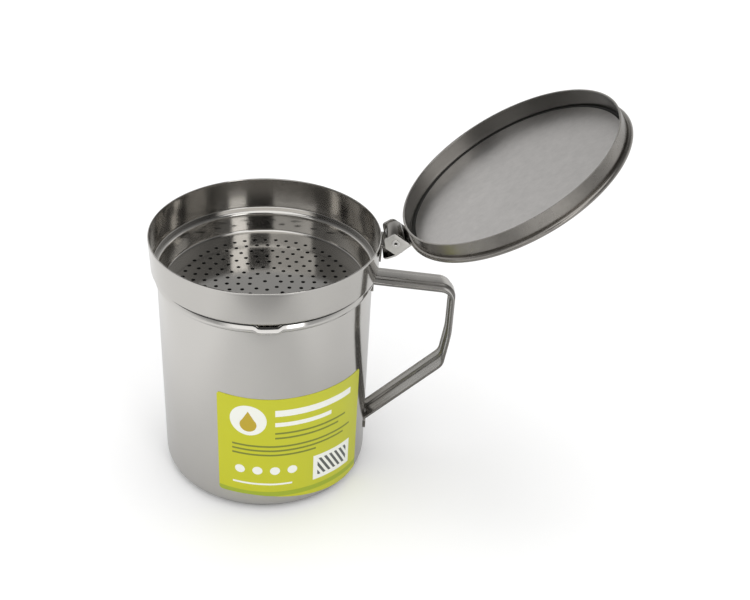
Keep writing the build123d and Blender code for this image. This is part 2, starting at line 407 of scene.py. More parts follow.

# the cup and the strainer: lines round the axis
# the cup darkens towards its base: painted shade where it meets the floor
cup_steel = steel_finish("drawn_steel", (0.60, 0.585, 0.56), 0.1, ROUND_LINES, 4 * MICRON,
                         darkening=toward((0, 0, -1), -3.5 * MM, -0.5 * MM, 0.6))
strainer_steel = steel_finish("strainer_steel", (0.54, 0.525, 0.5), 0.1, ROUND_LINES, 1.5 * MICRON)
# a darker copy for the faces towards the axis: painted shade inside the band and the basket
wall_steel = steel_finish("inner_wall_steel", (0.5, 0.485, 0.46), 0.1, ROUND_LINES, 0.4 * MICRON)

# the lid: a pale satin plate, and a skirt whose dark tone is partly stain and partly painted shade
lid_steel = steel_finish("lid_steel", (0.62, 0.604, 0.588), 0.4, GRAIN, 3 * MICRON, 0.25,
                         spread=(0.6, 1.4))
skirt_steel = steel_finish("skirt_steel", (0.27, 0.256, 0.236), 0.25, GRAIN, 3 * MICRON, 0.2,
                           spread=(0.5, 1.5))
# the skirt's inner face: painted shade that grows towards one side of the open lid
inner_steel = steel_finish("inner_skirt_shade", (0.44, 0.425, 0.40), 0.2, GRAIN, 3 * MICRON,
                           darkening=toward((0.592, 0.707, 0.387), 100 * MM, 140 * MM, 0.85))

# the handle: lines along the strap, with painted shade in its folds and on its inner face
handle_steel = steel_finish("handle_steel", (0.46, 0.445, 0.42), 0.16, STRAP_LINES, 6 * MICRON,
                            spread=(0.45, 1.35))
handle_inner_shade = steel_finish("handle_inner_steel", (0.33, 0.32, 0.3), 0.2, STRAP_LINES, 6 * MICRON,
                            spread=(0.45, 1.35))
crease_shade_steel = steel_finish("crease_shade_steel", (0.2, 0.193, 0.182), 0.25, STRAP_LINES, 4 * MICRON)

# the hinge: bright rivet and leaf, and a bracket whose dark tone is painted shade
rivet_steel = steel_finish("rivet_steel", (0.78, 0.765, 0.74), 0.2, GRAIN, 3 * MICRON)
hinge_steel = steel_finish("hinge_steel", (0.64, 0.625, 0.59), 0.26, FINE_GRAIN, 4 * MICRON)
hinge_shade_steel = steel_finish("hinge_shade_steel", (0.2, 0.19, 0.175), 0.15, FINE_GRAIN, 4 * MICRON)
print("steel finishes:", len(bpy.data.materials))

# %% [markdown]
# ## Painted shade
# The holes of a used strainer, the seams under a roll and the lid's groove look nearly black,
# since light is lost in them, and that shade is painted into their colour. Plain black would look
# like paint, so a dark warm grey and its roughness are broken up by specks of about a millimetre.


# %% Finish: painted shade
def dark_finish(name, tone, roughness):
    """Dull painted shade: the tone times (0.6 + 0.8 specks), with a tenth less blue."""
    finish, tree, shader = new_finish(name)
    spot = add_node(tree, "ShaderNodeTexCoord", {}, out="Object")
    specks = noise(tree, spot, 900.0, 3.0)
    shade = tone * (0.6 + 0.8 * specks)
    warm_grey = add_node(tree, "ShaderNodeCombineXYZ", {0: shade, 1: shade, 2: shade * 0.9})
    feed(tree, shader, base_color=warm_grey, roughness=roughness + 0.2 * specks)
    return finish


# painted shade, for the holes, the seams and the groove
painted_shade = dark_finish("painted_shade", 0.02, 0.6)
print("finishes:", len(bpy.data.materials))

# %% [markdown]
# ## The cup
# The cup is drawn from one disc: a flat base, a round bottom edge and a straight wall, rolled
# outwards at the rim. A bevelled cylinder would do for the wall, but not for the roll. So one
# profile, turned about the axis, gives all of it. The shallow pouring notch in the roll is a dip
# that depends on the angle.

# %% Cup profile
cup_r, sheet, base_corner = 42.5, 0.5, 5.5
roll_top, roll_foot, roll_out = 91.65, 88.4, 43.5
cup_corners = [(0, sheet), (cup_r - sheet, sheet), (cup_r - sheet, roll_top),  # floor, inner wall
               (cup_r + 0.1, roll_top), (cup_r + 0.5, roll_top - 0.5),  # over the roll
               (roll_out, roll_top - 1.9), (roll_out, roll_foot + 0.8),  # down its outside
               (roll_out - 0.35, roll_foot), (cup_r, roll_foot),  # under it
               (cup_r, roll_foot - 0.5), (cup_r, 0), (0, 0)]  # outer wall, base
cup_bends = [base_corner - sheet, 0.28, 0.2, 0.2, 0.9, 0.5, 0.3, 0.1, 0, base_corner]
cup_profile = rounded_line(cup_corners, cup_bends, 1.5)
print("cup profile", len(cup_profile), "points")

# %% Make the cup
notch_angle, notch_width, notch_ramp, notch_depth = radians(-86), 9.0, 2.2, 1.4
dip_from, dip_over = roll_foot - 2.5, 4.0


def notch_at(turn):
    """How deep the notch is at an angle, from 0 to 1, by the arc's length from its middle."""
    arc = np.abs(np.angle(np.exp(1j * (turn - notch_angle)))) * cup_r
    return 1 - eased((arc - notch_width / 2) / notch_ramp + 0.5)


cup_points, cup_faces = turned(cup_profile)
cup_turn = np.arctan2(cup_points[..., 1], cup_points[..., 0])
cup_turn[:, cup_profile[:, 0] == 0] = pi / 2  # the axis has no angle, so it gets one off the notch
lowered = eased((cup_points[..., 2] - dip_from) / dip_over)
cup_points[..., 2] -= notch_depth * notch_at(cup_turn) * lowered
cup = new_piece("cup_shell", [(cup_points, cup_faces)], "cup", "cup", cup_steel)

# %% Paint shade on the cup's roll
seam_drop, seam_half, roll_facing = 0.2, 0.3, 0.45


def in_creases(at, facing):
    """The top of the roll, under the strainer's step, and the seam of the roll and the wall, for
    painted shade.
    """
    level = at[:, 2] + 0.6 * notch_depth * notch_at(np.arctan2(at[:, 1], at[:, 0]))
    top = (facing[:, 2] > roll_facing) & (level > roll_foot + 1)
    seam = abs(level - roll_foot + seam_drop) < seam_half
    return (from_axis(at) > cup_r - 0.1) & (top | seam)


# painted shade under the strainer's step and in the seam below the roll
paint(cup, painted_shade, in_creases)

# %% [markdown]
# ## The strainer
# A band that carries the hinge, a step that rests on the cup's rim, a shallow basket, and a floor
# with rings of holes. The walls are one sheet, so only its middle line is drawn, and half the sheet
# is laid off to each side. A Solidify modifier could thicken it too, but this way its rim is round.


# %% Helpers: a sheet from its middle line
def normals_of(line):
    """Left-hand normals of a flat line, from the difference of each point's neighbours."""
    along = np.gradient(line, axis=0)
    along /= np.linalg.norm(along, axis=1)[:, None]
    return np.column_stack((-along[:, 1], along[:, 0]))


def sheet_section(middle, sheet, cap_steps=4):
    """Closed section of a sheet: out along one side, round the edge, and back on the other side."""
    normal = normals_of(middle)
    near, far = middle + normal * sheet / 2, middle - normal * sheet / 2
    swing = np.linspace(0, pi, cap_steps + 1)[1:-1, None]
    ahead = np.array([normal[-1, 1], -normal[-1, 0]])
    cap = middle[-1] + sheet / 2 * (np.cos(swing) * normal[-1] + np.sin(swing) * ahead)
    return np.vstack((near, cap, far[::-1]))


print("a sheet's edge is rounded by", len(sheet_section(np.eye(2), 0.1)) - 4, "points")

# %% Strainer walls
rim_z, step_z, step_outer_z, floor_z = 106.383, 92.32, 93.283, 83.52
band_rim_r, band_foot_r, step_edge_r, floor_r, flat_r = 44.7, 44.15, 41.2, 40.7, 36.5
half = sheet / 2
strainer_middle = rounded_line(
    [(flat_r, floor_z - half), (floor_r + half, floor_z - half),
     (step_edge_r + half, step_z - half), (band_foot_r + half, step_outer_z - half),
     (band_rim_r + half, rim_z - half)], [1.25, 1.5, 0.6], 1.0)
strainer_section = sheet_section(strainer_middle, sheet)
wall_points, wall_faces = turned(strainer_section)
print("strainer profile", len(strainer_section), "points")

# %% [markdown]
# ## The punched floor
# Fat runs through rings of small round holes. They could be cut with a Boolean or painted as a
# mask, but a Boolean leaves poor faces, and a mask has no walls. So the flat between the holes is
# filled with triangles that keep the hole edges. They serve for the underside too, and short walls
# join the two at each hole.

# %% Place the holes
hole_r, hole_pitch, hole_ring_r, hole_sides = 0.83, 4.45, 33.0, 14


def circle_of(count):
    """Points (cos a, sin a) at equal steps of a whole turn."""
    angle = np.linspace(0, 2 * pi, count, endpoint=False)
    return np.column_stack((np.cos(angle), np.sin(angle)))


rings = hole_ring_r - hole_pitch * np.arange(int(hole_ring_r / hole_pitch))
hole_spots = np.vstack([(0, 0)] + [r * circle_of(round(2 * pi * r / hole_pitch)) for r in rings])
print(len(hole_spots), "holes")


# %% Fill the floor round the holes
def loop_edges(start, count):
    """Edges of a closed ring of `count` points that starts at index `start`."""
    ring = start + np.arange(count)
    return np.column_stack((ring, np.roll(ring, -1)))


hole_edges = (hole_spots[:, None, :] + hole_r * circle_of(hole_sides)).reshape(-1, 2)
flat = np.vstack((flat_r * circle_of(ROUND_STEPS), hole_edges))
ring_starts = ROUND_STEPS + np.arange(len(hole_spots)) * hole_sides
flat_edges = np.vstack([loop_edges(0, ROUND_STEPS)]
                       + [loop_edges(start, hole_sides) for start in ring_starts])
same_spot = 1e-6
found, _, triangles, *_ = delaunay_2d_cdt([Vector(p) for p in flat], flat_edges.tolist(), [], 0,
                                          same_spot)
found, triangles = np.array([tuple(p) for p in found]), np.array(triangles)
centre = found[triangles].mean(axis=1)
from_holes = np.linalg.norm(centre[:, None] - hole_spots[None], axis=2)
in_hole = (from_holes < hole_r * 0.99).any(axis=1)
triangles = triangles[~in_hole & (np.linalg.norm(centre, axis=1) < flat_r)]
print(len(triangles), "triangles between the holes")

# %% Join the walls and the floor
top_of_floor = np.column_stack((found, np.full(len(found), floor_z)))
under_floor = top_of_floor - (0, 0, sheet)
wall, wall_next = flat_edges[ROUND_STEPS:].T
hole_walls = np.column_stack((wall, wall_next, wall_next + len(found), wall + len(found)))
strainer_patches = [(wall_points, wall_faces),
                    (top_of_floor, triangles), (under_floor, triangles[:, ::-1]),
                    (np.vstack((top_of_floor, under_floor)), hole_walls)]
strainer = new_piece("strainer_shell", strainer_patches, "strainer", "strainer", strainer_steel)


def inside_walls(at, facing):
    """The inner face of the band and of the basket: the sides that face the axis."""
    r = from_axis(at)
    return (at[:, 0] * facing[:, 0] + at[:, 1] * facing[:, 1] < -0.7 * r) & (r > flat_r)


def in_holes(at, facing):
    """The upright faces within the floor."""
    return (from_axis(at) < flat_r - 1) & (abs(facing[:, 2]) < 0.5)


# painted shade on the inside of the band and the basket
paint(strainer, wall_steel, inside_walls)
# painted shade on the walls of the holes
paint(strainer, painted_shade, in_holes)

# %% [markdown]
# ## The lid
# A flat plate with a rolled bead at its edge, and a short skirt that plugs the band and has its
# foot folded inwards as a hem. It could be built at the slant of the open lid, but a profile is
# easier to turn about an upright axis. So it is drawn closed and then swung about the hinge pin.

# %% Lid sizes
pin_x, pin_z, open_angle = 50.3, 105.663, radians(146.8)
lid_top, lid_sheet, bead_out, bead_r = 108.983, 0.55, 45.8, 1.15
skirt_r, skirt_drop, hem_height, hem_sheet = 44.184, 5.15, 1.1, 0.3
groove_wide, groove_deep = 1.2, 0.28
lid_under, bead_mid, bead_z = lid_top - lid_sheet, bead_out - bead_r, lid_top - bead_r
skirt_in, skirt_foot = skirt_r - sheet, rim_z - skirt_drop
hem_in = skirt_in - hem_sheet


def about_pin(points, angle):
    """Turn points about the hinge pin: dx cos a + dz sin a and dz cos a - dx sin a from the pin."""
    dx, dz = points[..., 0] - pin_x, points[..., 2] - pin_z
    x = pin_x + dx * cos(angle) + dz * sin(angle)
    z = pin_z + dz * cos(angle) - dx * sin(angle)
    return placed(x, points[..., 1], z)


print("lid", round(2 * bead_out, 1), "mm across, skirt foot at", round(skirt_foot, 2), "mm")

# %% Make the lid
bead_swing = np.linspace(pi / 2, -radians(150), 16)[:, None]
bead = np.hstack((bead_mid + bead_r * np.cos(bead_swing), bead_z + bead_r * np.sin(bead_swing)))
top_line = rounded_line([(0, lid_top), (bead_mid, lid_top)], [], 3.0)
tuck_in = rounded_line([bead[-1], (skirt_r, bead[-1, 1]), (skirt_r, skirt_foot)], [0.0], 1.0)
hem_line = rounded_line(
    [(skirt_r, skirt_foot), (hem_in, skirt_foot), (hem_in, skirt_foot + hem_height),
     (skirt_in, skirt_foot + hem_height), (skirt_in, lid_under + groove_deep),
     (skirt_in - groove_wide / 2, lid_under + groove_deep), (skirt_in - groove_wide, lid_under),
     (0, lid_under)],
    [0.3, 0.14, 0.05, 0.1, 0.1, 0.2], 3.0)
lid_points, lid_faces = turned(np.vstack((top_line, bead[1:], tuck_in[1:], hem_line[1:])))
lid = new_piece("lid_shell", [(about_pin(lid_points, open_angle), lid_faces)], "lid_disc", "lid",
                lid_steel)

# %% Stain the lid's skirt and paint shade on it
plate_edge = skirt_in - 0.5
groove_mid, groove_half, groove_slack = 0.17, 0.15, 0.05


def on_closed_lid(at):
    """Radius and height that points of the open lid have when it is closed."""
    at = about_pin(at, -open_angle)
    return from_axis(at), at[:, 2]


def on_skirt(at, facing):
    """The bead and the skirt: everything outside the plate."""
    return on_closed_lid(at)[0] > plate_edge


def inside_skirt(at, facing):
    """The inner face of the skirt and its hem."""
    r, _ = on_closed_lid(at)
    return (r > plate_edge) & (r < skirt_in + 0.1)


def in_groove(at, facing):
    """The groove where the skirt meets the plate."""
    r, z = on_closed_lid(at)
    across = abs(r - skirt_in + groove_wide / 2) < groove_wide / 2 + groove_slack
    return across & (abs(z - lid_under - groove_mid) < groove_half)


# the skirt's dark tone: partly stain, partly painted shade
paint(lid, skirt_steel, on_skirt)
# painted shade on one side of the skirt's inner face
paint(lid, inner_steel, inside_skirt)
# painted shade in the groove where the skirt meets the plate
paint(lid, painted_shade, in_groove)

# %% [markdown]
# ## The handle
# A strap pressed to a shallow channel with a raised rib, bent to a D and welded to the cup by two
# tabs. A plain strip could be bent for it, but the rib and the turned edges catch the light, so
# the whole section is carried along a rounded line: at each point it lies across the line.

# %% The strap's line and section
handle_corners = [(41.6, 87.9), (75.1, 84.2), (75.2, 61.0), (73.4, 47.8), (41.6, 17.95)]
handle_line = rounded_line(handle_corners, [6.0, 30.0, 6.5], 1.5, radians(5))
handle_width, handle_sheet, handle_edge = 12.2, 0.8, 1.1
rib_width, rib_height, rib_run = 5.6, 0.9, 0.63
half_width, half_rib = handle_width / 2, rib_width / 2
groove = half_rib - handle_sheet / 2
right_side = [(0, rib_height), (half_rib - rib_run, rib_height), (half_rib, 0),  # over the rib
              (half_width, 0), (half_width, -handle_edge),  # round the turned edge
              (half_width - handle_sheet, -handle_edge),
              (half_width - handle_sheet, -handle_sheet), (groove, -handle_sheet),  # under the web
              (groove - rib_run, rib_height - handle_sheet), (0, rib_height - handle_sheet)]
right_half = rounded_line(right_side, [0.5, 0.5, 0.55, 0.25, 0.25, 0.15, 0.4, 0.4], 3.0)
section = np.vstack((right_half, (right_half * (-1, 1))[::-1][1:-1]))
print("strap section", len(section), "points, carried to", len(handle_line), "places")


# %% Helpers: a thin slab
def skin(outer, inner):
    """A thin slab: the outer grid of points, the inner grid, and a border that closes it."""
    columns, rows = outer.shape[:2]
    last = columns - 1
    faces = grid_faces(columns, rows)
    border = np.concatenate((np.arange(columns) * rows, last * rows + np.arange(1, rows),
                             np.arange(last - 1, -1, -1) * rows + rows - 1,
                             np.arange(rows - 2, 0, -1)))
    ahead, depth = np.roll(border, -1), columns * rows
    border_faces = np.column_stack((border, ahead, ahead + depth, border + depth))
    both = np.vstack((outer.reshape(-1, 3), inner.reshape(-1, 3)))
    return [(both, faces), (both, faces[:, ::-1] + depth), (both, border_faces)]


def closing_in(corner, over, short=0.01):
    """How far an edge closes in, `over` past the centre of a corner: c - sqrt(c^2 - over^2)."""
    return corner - np.sqrt(corner ** 2 - np.clip(over, 0, corner - short) ** 2)


def soft_corners(half, low, high, corner, columns=40, rows=20):
    """A grid over a rectangle with round corners, from -half to half across."""
    across, up = np.meshgrid(np.linspace(-half, half, columns), np.linspace(0, 1, rows),
                             indexing="ij")
    close = closing_in(corner, abs(across) - (half - corner), 0.001 * corner)
    return across, low + close + up * (high - low - 2 * close)


print("half way round a 1 mm corner:", closing_in(1.0, 0.5).round(3), "mm in")

# %% Make the handle
tab_corner, tab_inside, weld_gap = 1.2, 0.05, 0.03
across, proud = section[:, 0], section[:, 1]
centre_line = handle_line[:, None, :] + proud[None, :, None] * normals_of(handle_line)[:, None, :]
handle_patches = bar_along(placed(centre_line[..., 0], across, centre_line[..., 1]))
for tab_low, tab_high in ((83.1, 87.7), (13.9, 19.3)):
    across, tab_z = soft_corners(half_width, tab_low, tab_high, tab_corner)
    tab_angle = across / (cup_r + handle_sheet)
    handle_patches += skin(about_axis(cup_r + handle_sheet - tab_inside, tab_angle, tab_z),
                           about_axis(cup_r + weld_gap, tab_angle, tab_z))
handle = new_piece("handle_strap", handle_patches, "handle", "cup", handle_steel)

# %% Paint shade on the strap's folds and inner face
rib_side_from, rib_side_to, turned_edge = 1.85, 2.95, 5.95
loop_x, loop_z = 58, 55


def in_folds(at, facing):
    """The sloping sides of the rib, and the outer faces of the turned edges."""
    y, sloping = abs(at[:, 1]), abs(facing[:, 1])
    rib_sides = (y > rib_side_from) & (y < rib_side_to) & (sloping > 0.25)
    return rib_sides | ((y > turned_edge) & (sloping > 0.8))


def faces_inwards(at, facing):
    """The web's face that looks into the handle's loop, where it is clear of the cup."""
    inwards = (at[:, 0] - loop_x) * facing[:, 0] + (at[:, 2] - loop_z) * facing[:, 2] < 0
    return inwards & (abs(facing[:, 1]) < 0.7) & (from_axis(at) > cup_r + 1)


# painted shade on the face inside the loop
paint(handle, handle_inner_shade, faces_inwards)
# painted shade in the folds
paint(handle, crease_shade_steel, in_folds)

# %% [markdown]
# ## The label
# A printed film wrapped round the cup, a little askew, so that its low corner runs on round the
# base. It could be painted on the cup's wall, but a film of its own has an edge and a gloss.
# Heights are counted along the cup's outline, which follows the arc at the base corner. The same
# millimetres, from the film's lower left corner, are the print's UV map.

# %% Lay out the film
label_gap, film, film_corner = 0.02, 0.12, 1.2
film_columns, film_rows = 120, 48
edge_turns = (-113.5, -104, -96, -83, -68.5, -50, -26.3)
low_edges = (9.1, 8.95, 8.7, 7.7, 6.1, 4.3, 2.2)
top_edges = (58.4, 57.9, 57.5, 57.0, 56.9, 56.6, 55.6)
label_turn = np.linspace(edge_turns[0], edge_turns[-1], film_columns)
low = np.interp(label_turn, edge_turns, low_edges)
top = np.interp(label_turn, edge_turns, top_edges)
label_wide = radians(edge_turns[-1] - edge_turns[0]) * cup_r
from_side = label_wide / 2 - abs(np.linspace(-label_wide / 2, label_wide / 2, film_columns))
round_off = closing_in(film_corner, film_corner - from_side)
low, top = low + round_off, top - round_off
run = low[:, None] + np.linspace(0, 1, film_rows) * (top - low)[:, None]
label_angle = np.radians(label_turn)[:, None]
print("film", round(label_wide, 1), "mm wide,", round(top_edges[0] - low_edges[0], 1), "mm tall")


# %% Helpers: on the cup and back to the film
def on_cup(radius):
    """Points at one radius, bent at the base corner c by a = (c - run) / c: z = c (1 - sin a)."""
    bend = np.clip((base_corner - run) / base_corner, 0, pi / 2)
    r = radius - base_corner * (1 - np.cos(bend))
    z = np.where(run < base_corner, base_corner * (1 - np.sin(bend)), run)
    return about_axis(r, label_angle, z)


def film_place(points):
    """Back from a point to mm (along the film, up the film), from the lower left corner."""
    z = points[:, 2]
    bend = np.arcsin(np.clip((base_corner - z) / base_corner, 0, 1))
    run = np.where(z < base_corner, base_corner * (1 - bend), z)
    turn = np.degrees(np.arctan2(points[:, 1], points[:, 0]))
    from_top = run - np.interp(turn, edge_turns, top_edges)
    return np.column_stack((np.radians(turn - edge_turns[0]) * cup_r,
                            from_top + top_edges[0] - low_edges[0]))


print("lower right corner at", film_place(on_cup(cup_r)[-1, :1]).round(1)[0], "mm")

# %% [markdown]
# ## The print
# Lime film with a white disc, a drop in it, bars, lines, dots and a striped panel. An image could
# carry it, but shapes made by comparing coordinates stay sharp from close by. Each is a mask of 0
# and 1, and its ink is mixed over what lies under it, in printing order.

# %% Print for the label
FILM_UNIT = 100.0  # millimetres of film in one unit of its UV map
LIME, LIME_PALE, LIME_FOOT = (0.56, 0.56, 0.004), (0.50, 0.52, 0.045), (0.34, 0.42, 0.02)
WHITE, OLIVE = (0.86, 0.87, 0.80), (0.19, 0.22, 0.02)
DEEP, OCHRE = (0.10, 0.11, 0.10), (0.50, 0.36, 0.02)
disc_x, disc_y, disc_r = 12.5, 38.5, 7.2
drop_y, drop_r, tip_from, tip_to = 36.4, 3.3, 37.0, 43.5
white_bars = ((23, 58, 41, 44), (23, 47, 36, 38))  # left, right, low, high
foot, foot_line, dot_field = (0, 100, 0, 2.4), (6, 30, 6.0, 6.9), (6, 34, 8, 19)
panel, striped = (39, 58.5, 5, 17.5), (41, 56.5, 7, 15.5)
olive_lines = ((23, 55, 32.2), (23, 51, 29.8), (6, 58, 25.6), (6, 54, 23.4), (6, 40, 21.2))
line_tall, dot_y, dot_r, dot_pitch, stripe_pitch = 0.9, 13.5, 2.0, 7.0, 2.6


def printed_film():
    """The label's finish: every size is in mm on the film."""
    finish, tree, shader = new_finish("label_film")
    place = add_node(tree, "ShaderNodeUVMap", {}, uv_map="film")
    across = add_node(tree, "ShaderNodeSeparateXYZ", {0: place}, out="X")
    x, y = across * FILM_UNIT, across.twin("Y") * FILM_UNIT

    def bar(left, right, low, high):
        return (x > left) * (x < right) * (y > low) * (y < high)

    def disc(across, up, radius):
        dx, dy = x - across, y - up
        return dx * dx + dy * dy < radius * radius

    clouds = noise(tree, place, 7.0, 2.0)
    tint = mix(tree, clouds * 0.3 + x * 0.008, LIME + (1,), LIME_PALE + (1,))
    drop, sides = disc(disc_x, drop_y, drop_r), drop_r - 0.55 * (y - tip_from)
    tip = (y > tip_from) * (abs(x - disc_x) < sides) * (y < tip_to)
    dot_x = (x - dot_field[0]) % dot_pitch - 3.0
    dots = dot_x * dot_x + (y - dot_y) * (y - dot_y) < dot_r * dot_r
    stripes = (x + 0.6 * y) % stripe_pitch > stripe_pitch / 2
    layers = [(bar(*foot), LIME_FOOT), (disc(disc_x, disc_y, disc_r), WHITE),
              (drop.larger(tip), OCHRE)]
    layers += [(bar(*edges), WHITE) for edges in white_bars]
    layers += [(bar(left, right, low, low + line_tall), OLIVE) for left, right, low in olive_lines]
    layers += [(dots * bar(*dot_field), WHITE), (bar(*foot_line), WHITE),
               (bar(*panel), WHITE), (stripes * bar(*striped), DEEP)]
    for mask, ink in layers:
        tint = mix(tree, mask, tint, ink + (1,))
    feed(tree, shader, base_color=tint, roughness=0.42 + 0.12 * clouds)
    shader.inputs["Coat Weight"].default_value = 0.1
    shader.inputs["Coat Roughness"].default_value = 0.12
    return finish


label_film = printed_film()
print("the print is a tree of", len(label_film.node_tree.nodes), "nodes")

# %% Put the label on
label_skin = skin(on_cup(cup_r + label_gap + film), on_cup(cup_r + label_gap))
label = new_piece("label_skin", label_skin, "label", "cup", label_film, radians(60))
spots = np.empty(len(label.data.vertices) * 3)
label.data.vertices.foreach_get("co", spots)
corner_of = np.empty(len(label.data.loops), int)
label.data.loops.foreach_get("vertex_index", corner_of)
film_map = label.data.uv_layers.new(name="film")
film_spots = film_place(spots.reshape(-1, 3) / MM)[corner_of] / FILM_UNIT
film_map.data.foreach_set("uv", film_spots.ravel())

# %% [markdown]
# ## The hinge bracket
# The hinge is a bracket, a leaf and a rivet. The bracket is a plate on the band, with an arm that
# ends in a round hood over the pin, closed at the sides by cheeks. It could be cut from a block,
# but stampings show an even sheet and soft rims. So one helper draws a sheet's section out to a
# width, and another makes a plate with a hole for the pin.


# %% Helpers: pressed sheet
def rim_steps(edge, steps=4):
    """A quarter circle at a rim: how far in from the end, and how far the outline shrinks there."""
    angle = np.linspace(0, pi / 2, steps)
    return edge * (1 - np.cos(angle)), edge * (1 - np.sin(angle))


def pressed(section, half_width, edge=0.12, narrow=1.0):
    """A closed section of (x, z) points drawn along y, with round rims; `narrow` scales y."""
    before, after = np.roll(section, 1, axis=0), np.roll(section, -1, axis=0)
    ahead = (after - before) / np.linalg.norm(after - before, axis=1)[:, None]
    out = np.column_stack((ahead[:, 1], -ahead[:, 0]))
    area = np.sum(section[:, 0] * after[:, 1] - after[:, 0] * section[:, 1])
    into, shrink = rim_steps(edge)
    y = np.hstack((into - half_width, (half_width - into)[::-1]))
    shrink = np.hstack((shrink, shrink[::-1]))
    flat = section[None] - np.sign(area) * shrink[:, None, None] * out[None]
    return bar_along(placed(flat[..., 0], y[:, None] * narrow, flat[..., 1]))


print("rims of 0.12 mm go in by", rim_steps(0.12)[0].round(3), "mm")

# %% Helpers: drilled plates
pin = np.array([pin_x, pin_z])


def drilled(outline, hole_r, *y_sides, edge=0.1, around=180):
    """A plate between two y: at each angle, rings run from a hole at the pin to the outline."""
    y_low, y_high = sorted(y_sides)
    dx, dz = (outline - pin).T
    bearing, far = np.arctan2(dz, dx), np.hypot(dx, dz)
    order = np.argsort(bearing)
    angle = np.linspace(-pi, pi, around, endpoint=False)
    reach = np.interp(angle, bearing[order], far[order], period=2 * pi)
    into, shrink = rim_steps(edge)
    y = np.hstack((y_low, y_low + into, (y_high - into)[::-1], y_high))
    bore = np.full(around, hole_r)
    ring = np.vstack((bore, reach - shrink[:, None], reach - shrink[::-1, None], bore)).T
    x, z = ring * np.cos(angle)[:, None] + pin[0], ring * np.sin(angle)[:, None] + pin[1]
    return placed(x, y, z), grid_faces(around, len(y), wrap_rows=True, wrap_columns=True)


def round_pin(radius, start, end, count):
    """An arc about the pin: pin + r (cos a, sin a), from one angle in degrees to another."""
    swing = np.linspace(radians(start), radians(end), count)[:, None]
    return pin + radius * np.hstack((np.cos(swing), np.sin(swing)))


print("pin at", pin, "mm")

# %% Make the hinge bracket
plate_r, plate_foot, plate_top, plate_corner, plate_shy = 45.8, 96.483, 104.183, 1.0, 0.02
bracket_half, bracket_sheet, hood_r, cheek_r = 5.5, 0.6, 3.55, 3.4
arm_from, arm_to, cheek_in, cheek_out, cheek_hole = 45.5, 47.9, 4.7, 5.46, 1.0
cheek_foot, cheek_shoulder = (45.3, 103.2), (45.3, 103.4)

across, plate_z = soft_corners(bracket_half, plate_foot, plate_top, plate_corner)
plate_angle = np.arcsin(across / plate_r)
lean = (rim_z - plate_z) * (band_rim_r - band_foot_r) / (rim_z - step_outer_z)  # the band's taper
plate = skin(about_axis(plate_r - plate_shy - lean, plate_angle, plate_z),
             about_axis(band_rim_r + sheet + weld_gap - lean, plate_angle, plate_z))
arm_z = plate_top - bracket_sheet / 2
arm = sheet_section(rounded_line([(arm_from, arm_z), (arm_to, arm_z)], []), bracket_sheet)
hood = sheet_section(round_pin(hood_r - bracket_sheet / 2, 213, -88, 70), bracket_sheet)
cheek_sole = rounded_line([(pin_x, pin_z - cheek_r), cheek_foot, cheek_shoulder], [0.02], 0.2)
cheek = np.vstack((round_pin(cheek_r, 205, -90, 80), cheek_sole))
bracket_patches = plate + pressed(arm, bracket_half) + pressed(hood, bracket_half, 0.2)
bracket_patches += [drilled(cheek, cheek_hole, side * cheek_in, side * cheek_out)
                    for side in (-1, 1)]
# the bracket's dark tone is painted shade
bracket = new_piece("bracket_shell", bracket_patches, "hinge_bracket", "strainer", hinge_shade_steel)

# %% [markdown]
# ## The pin
# A tubular rivet runs through bracket and leaf, with a small flared head at each end. A plain
# cylinder would lack the open bore, which shows as a dark dot. So a closed profile of bore, flare,
# head and shank is turned about the rivet's own axis.

# %% Make the hinge pin
rivet_r, bore_r, head_r, head, half_pin = 0.95, 0.45, 1.55, 0.35, 6.8
flare_deep, flare_wide, rivet_steps = 0.3, 0.25, 64
half_rivet = rounded_line([(bore_r, 0), (bore_r, half_pin - flare_deep),
                           (bore_r + flare_wide, half_pin), (head_r, half_pin),
                           (head_r, half_pin - head), (rivet_r, half_pin - head), (rivet_r, 0)],
                          [0.3, 0.12, 0.15, 0.1, 0.02], 1.0)
rivet = np.vstack((half_rivet, (half_rivet * (1, -1))[::-1][1:-1]))
rivet_points, rivet_faces = turned(rivet, rivet_steps, closed=True)
rivet_points = rivet_points[..., [0, 2, 1]] + (pin_x, 0, pin_z)  # its axis lies along y
pin_piece = new_piece("rivet", [(rivet_points, rivet_faces)], "hinge_pin", "strainer", rivet_steel)

# %% [markdown]
# ## The leaf
# A strap welded on the lid, stepped up over the hood to a thumb tab, with an ear on each side for
# the pin. It could be built on the open lid, but it is drawn closed and swung as the lid is, so
# the two can't come apart. The strap narrows at its ends to round the corners.

# %% Make the leaf on the lid
leaf_sheet, leaf_corner, leaf_gap, ear_low, ear_high, ear_shy = 0.7, 2.0, 0.01, 5.8, 6.4, 0.01
leaf_corners = [(35.65, lid_top), (45.8, lid_top), (52.9, 109.977), (57.55, 109.077)]
leaf_middle = rounded_line(leaf_corners, [2.0, 1.2], 0.5) + (0, leaf_sheet / 2 + leaf_gap)
leaf_section = sheet_section(leaf_middle, leaf_sheet)
leaf_x = leaf_section[:, 0]
nearest_end = np.minimum(leaf_x - leaf_x.min(), leaf_x.max() - leaf_x)
narrower = closing_in(leaf_corner, leaf_corner - nearest_end) / ear_high
leaf_patches = pressed(leaf_section, ear_high, 0.15, 1 - narrower)

